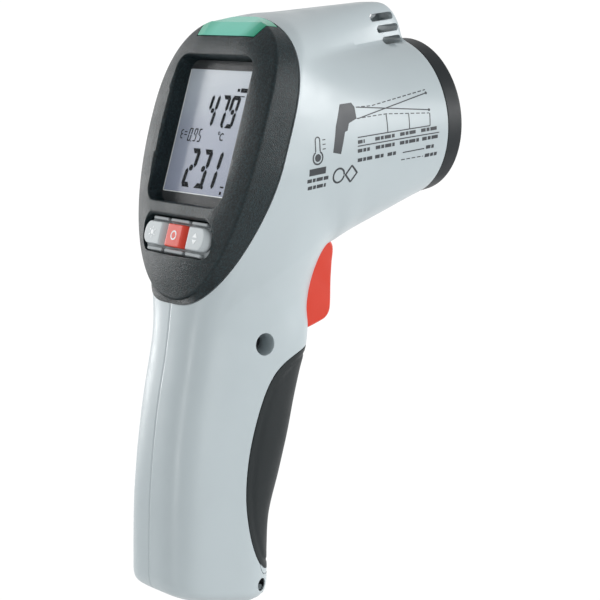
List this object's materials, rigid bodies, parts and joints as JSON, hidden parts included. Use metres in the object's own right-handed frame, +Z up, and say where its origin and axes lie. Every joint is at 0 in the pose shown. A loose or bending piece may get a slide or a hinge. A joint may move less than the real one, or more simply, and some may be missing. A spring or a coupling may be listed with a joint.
{
  "type": "infrared thermometer",
  "caption": "Pistol-shaped infrared thermometer with a tilted rear display and keys, a round nose with lens and aiming lasers, a trigger and a battery door in the handle.",
  "frame": {"origin": "centre of the flat foot under the handle", "axes": "+Y points where the thermometer measures, along the barrel; +Z is up and parallel to the nose ring's face; +X is the side with the screw recess"},
  "size_m": [0.0612, 0.117, 0.1809],
  "materials": {
    "housing": "satin light grey ABS, fine moulded texture",
    "bezel": "fine-grained dark grey ABS",
    "mint": "translucent mint green",
    "window": "clear hard-coated acrylic",
    "lcd": "grey-blue liquid crystal glass",
    "diffuser": "white light guide",
    "silicone": "silicone rubber",
    "board": "green solder-masked fibreglass board",
    "steel": "zinc-plated or stainless steel",
    "led": "clear light-emitting diode package",
    "black_plastic": "moulded black plastic",
    "key": "light grey moulded key",
    "orange": "smooth orange-red plastic",
    "brass": "turned brass",
    "lens": "coated germanium, mirror-like and dark",
    "plunger": "red switch plunger",
    "grip": "black soft-touch rubber",
    "battery": "plain dark printed sleeve over a metal can",
    "lead_red": "red wire insulation",
    "lead_black": "black wire insulation"
  },
  "bodies": {
    "housing": {"right_housing": "housing", "left_housing": "housing", "display_bezel": "bezel", "alarm_light_window": "mint", "display_window": "window", "lcd_panel": "lcd", "lcd_backlight": "diffuser", "zebra_strip": "silicone", "main_board": "board", "board_screw_left": "steel", "board_screw_right": "steel", "alarm_led": "led", "buzzer": "black_plastic", "keypad_mat": "silicone", "nose_ring": "bezel", "front_plate": "black_plastic", "optics_tube": "brass", "infrared_lens": "lens", "thermopile_sensor": "steel", "sensor_board": "board", "laser_module_upper": "brass", "laser_module_lower": "brass", "humidity_board": "board", "humidity_sensor": "black_plastic", "trigger_pin": "steel", "trigger_spring": "steel", "switch_body": "black_plastic", "door_hinge_pin": "steel", "battery": "battery", "battery_snap": "black_plastic", "battery_lead_red": "lead_red", "battery_lead_black": "lead_black", "handle_screw": "steel"},
    "trigger": {"trigger": "orange"},
    "plunger": {"switch_plunger": "plunger"},
    "left_key": {"key_left": "key"},
    "middle_key": {"key_middle": "orange"},
    "right_key": {"key_right": "key"},
    "door": {"battery_door": "black_plastic", "door_grip": "grip"}
  },
  "joints": [
    {"name": "trigger_pull", "type": "hinge", "parent": "housing", "child": "trigger", "pos_m": [0, 0.04875, 0.1073], "axis": [-1, 0, 0], "range_deg": [0, 8], "stiffness_Nm_per_rad": 0.06, "springref_deg": -17.19, "deforming": ["trigger_spring"]},
    {"name": "switch_press", "type": "slide", "parent": "housing", "child": "plunger", "axis": [0, -1, 0], "range_m": [0, 0.0027]},
    {"name": "key_left_press", "type": "slide", "parent": "housing", "child": "left_key", "axis": [0, 0.9272, -0.3746], "range_m": [0, 0.0006], "stiffness_N_per_m": 900, "springref_m": -0.0002},
    {"name": "key_middle_press", "type": "slide", "parent": "housing", "child": "middle_key", "axis": [0, 0.9272, -0.3746], "range_m": [0, 0.0006], "stiffness_N_per_m": 900, "springref_m": -0.0002},
    {"name": "key_right_press", "type": "slide", "parent": "housing", "child": "right_key", "axis": [0, 0.9272, -0.3746], "range_m": [0, 0.0006], "stiffness_N_per_m": 900, "springref_m": -0.0002},
    {"name": "battery_door_open", "type": "hinge", "parent": "housing", "child": "door", "pos_m": [0, 0.01705, 0.0081], "axis": [-1, 0, 0], "range_deg": [0, 75]}
  ],
  "couplings": [
    {"joint": "switch_press", "follows": "trigger_pull", "m_per_rad": 0.019}
  ]
}
